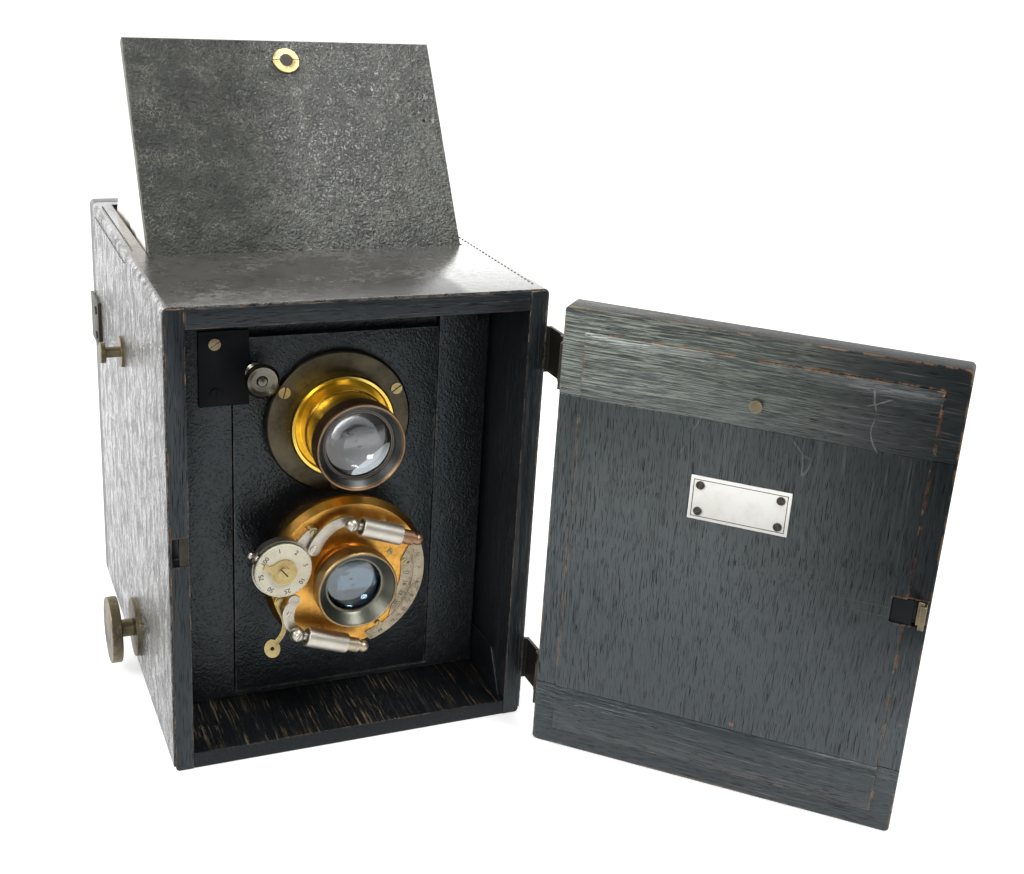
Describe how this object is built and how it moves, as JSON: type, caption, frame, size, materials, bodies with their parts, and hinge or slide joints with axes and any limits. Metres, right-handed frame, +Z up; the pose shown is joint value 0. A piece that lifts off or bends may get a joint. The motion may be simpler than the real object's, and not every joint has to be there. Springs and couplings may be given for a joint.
{
  "type": "twin-lens reflex box camera",
  "caption": "Antique box-form twin-lens reflex plate camera in black leather and wood, with a swing-open front door, raised folding focusing hood, rising lens board and side focusing knob.",
  "frame": {"origin": "mouth of the tripod bush, in the middle of the base's underside", "axes": "+Z up, -Y out of the front through the lenses, +Y to the plate, +X the side that the front door is hinged on (the right side seen from the front)"},
  "size_m": [0.2774, 0.3189, 0.2737],
  "materials": {
    "ebonised_wood": "black stain, worn to brown at the edges",
    "black_leather": "black grained leather, scuffed",
    "bellows_leather": "dull black",
    "tan_leather": "soft, undyed side out",
    "mirror_glass": "front silvered",
    "frosted_glass": "ground on one face",
    "lens_glass": "polished, bluish",
    "blackened_brass": "dark lacquer worn to olive brown",
    "brass": "aged, satin",
    "lacquered_brass": "orange-gold lacquer",
    "grey_metal": "matt grey-black",
    "nickel": "nickel plated, bright",
    "ivory": "ivory sheet, aged",
    "blued_steel": "blued"
  },
  "bodies": {
    "body": {"side_board_left": "ebonised_wood", "side_board_right": "ebonised_wood", "base_board": "ebonised_wood", "top_boards": "ebonised_wood", "body_leather": "black_leather", "tripod_bush": "brass", "strike_plate": "brass", "carriage_rails": "ebonised_wood", "chamber_partition": "ebonised_wood", "reflex_mirror": "mirror_glass", "screen_frame": "ebonised_wood", "ground_glass": "frosted_glass", "plate_frame": "ebonised_wood", "dark_slide": "ebonised_wood", "side_bushes": "brass", "side_ironwork": "blackened_brass", "hinge_pins": "blackened_brass", "body_screws": "blackened_brass", "hood_gussets": "tan_leather"},
    "lens_carriage": {"lens_standard": "black_leather", "focus_racks": "brass", "clamp_plate": "blackened_brass", "bellows": "bellows_leather"},
    "rising_front": {"lens_board": "black_leather", "viewing_flange": "blackened_brass", "viewing_barrel": "brass", "viewing_cell": "lacquered_brass", "viewing_lenses": "lens_glass", "shutter_case": "lacquered_brass", "taking_cell": "grey_metal", "taking_lenses": "lens_glass", "dial_drum": "nickel", "dial_pointer": "nickel", "scale_plates": "nickel", "shutter_cylinders": "nickel", "lens_screws": "nickel"},
    "clamp": {"clamp_knob": "blackened_brass"},
    "dial": {"speed_dial": "ivory"},
    "release": {"release_lever": "brass"},
    "lever_upper": {"upper_lever": "nickel"},
    "lever_lower": {"lower_lever": "nickel"},
    "piston_upper": {"upper_piston": "nickel"},
    "piston_lower": {"lower_piston": "nickel"},
    "blade_left": {"shutter_blade_left": "blued_steel"},
    "blade_right": {"shutter_blade_right": "blued_steel"},
    "focusing": {"focus_shaft": "nickel", "focus_knob": "brass"},
    "stud": {"side_stud": "blackened_brass"},
    "lid": {"hood_lid": "black_leather", "lid_catch_ring": "brass"},
    "lid_button": {"lid_catch_button": "brass"},
    "door": {"door_board": "ebonised_wood", "door_cleats": "ebonised_wood", "door_leather": "black_leather", "nameplate": "ivory", "door_screws": "blackened_brass", "latch_plate": "brass", "door_hinge_leaves": "blackened_brass"},
    "latch": {"latch_bolt": "brass"},
    "back": {"back_door": "black_leather"}
  },
  "joints": [
    {"name": "front_door", "type": "hinge", "parent": "body", "child": "door", "pos_m": [0.0787, -0.1066, 0.097], "axis": [0, 0, 1], "range_deg": [-135.8, 44]},
    {"name": "door_latch", "type": "slide", "parent": "door", "child": "latch", "axis": [0.7169, -0.6972, 0], "range_m": [-0.0012, 0]},
    {"name": "focus_slide", "type": "slide", "parent": "body", "child": "lens_carriage", "axis": [0, -1, 0], "range_m": [0, 0.025], "deforming": ["bellows"]},
    {"name": "focus_turn", "type": "hinge", "parent": "body", "child": "focusing", "pos_m": [0, -0.0046, 0.0189], "axis": [-1, 0, 0], "range_deg": [0, 290]},
    {"name": "rising_front_slide", "type": "slide", "parent": "lens_carriage", "child": "rising_front", "axis": [0, 0, 1], "range_m": [0, 0.007]},
    {"name": "rise_clamp", "type": "hinge", "parent": "rising_front", "child": "clamp", "pos_m": [-0.0343, -0.066, 0.1558], "axis": [0, -1, 0], "range_deg": [0, 180]},
    {"name": "speed_dial_turn", "type": "hinge", "parent": "rising_front", "child": "dial", "pos_m": [-0.0284, -0.083, 0.0781], "axis": [0, -1, 0], "range_deg": [0, 270]},
    {"name": "shutter_release", "type": "hinge", "parent": "rising_front", "child": "release", "pos_m": [-0.0288, -0.078, 0.0618], "axis": [0, 1, 0], "range_deg": [0, 16]},
    {"name": "upper_lever_turn", "type": "hinge", "parent": "rising_front", "child": "lever_upper", "pos_m": [-0.0153, -0.082, 0.0852], "axis": [0, -1, 0], "range_deg": [0, 8]},
    {"name": "lower_lever_turn", "type": "hinge", "parent": "rising_front", "child": "lever_lower", "pos_m": [-0.0257, -0.082, 0.0575], "axis": [0, 1, 0], "range_deg": [0, 12]},
    {"name": "upper_piston_slide", "type": "slide", "parent": "rising_front", "child": "piston_upper", "axis": [-0.9426, 0, 0.3338], "range_m": [0, 0.0024]},
    {"name": "lower_piston_slide", "type": "slide", "parent": "rising_front", "child": "piston_lower", "axis": [-0.9426, 0, 0.3338], "range_m": [0, 0.0018]},
    {"name": "blade_left_turn", "type": "hinge", "parent": "rising_front", "child": "blade_left", "pos_m": [0.0006, -0.0739, 0.0952], "axis": [0, 1, 0], "range_deg": [0, 35]},
    {"name": "blade_right_turn", "type": "hinge", "parent": "rising_front", "child": "blade_right", "pos_m": [0.0006, -0.0748, 0.0952], "axis": [0, -1, 0], "range_deg": [0, 35]},
    {"name": "stud_pull", "type": "slide", "parent": "body", "child": "stud", "axis": [-1, 0, 0], "range_m": [0, 0.0022], "stiffness_N_per_m": 400},
    {"name": "hood_lid_turn", "type": "hinge", "parent": "body", "child": "lid", "pos_m": [0, -0.0172, 0.1919], "axis": [1, 0, 0], "range_deg": [-56.6, 0], "deforming": ["hood_gussets"]},
    {"name": "lid_button_push", "type": "slide", "parent": "lid", "child": "lid_button", "axis": [0, 0.8348, -0.5505], "range_m": [0, 0.0012], "stiffness_N_per_m": 400},
    {"name": "back_door_turn", "type": "hinge", "parent": "body", "child": "back", "pos_m": [0.0781, 0.0861, 0.097], "axis": [0, 0, -1], "range_deg": [0, 110]}
  ],
  "couplings": [
    {"joint": "focus_turn", "follows": "focus_slide", "rad_per_m": 200},
    {"joint": "upper_lever_turn", "follows": "shutter_release", "ratio": 0.49},
    {"joint": "lower_lever_turn", "follows": "shutter_release", "ratio": 0.74},
    {"joint": "upper_piston_slide", "follows": "shutter_release", "m_per_rad": 0.0079},
    {"joint": "lower_piston_slide", "follows": "shutter_release", "m_per_rad": 0.0048},
    {"joint": "blade_left_turn", "follows": "shutter_release", "ratio": 2.18},
    {"joint": "blade_right_turn", "follows": "shutter_release", "ratio": 2.18}
  ]
}
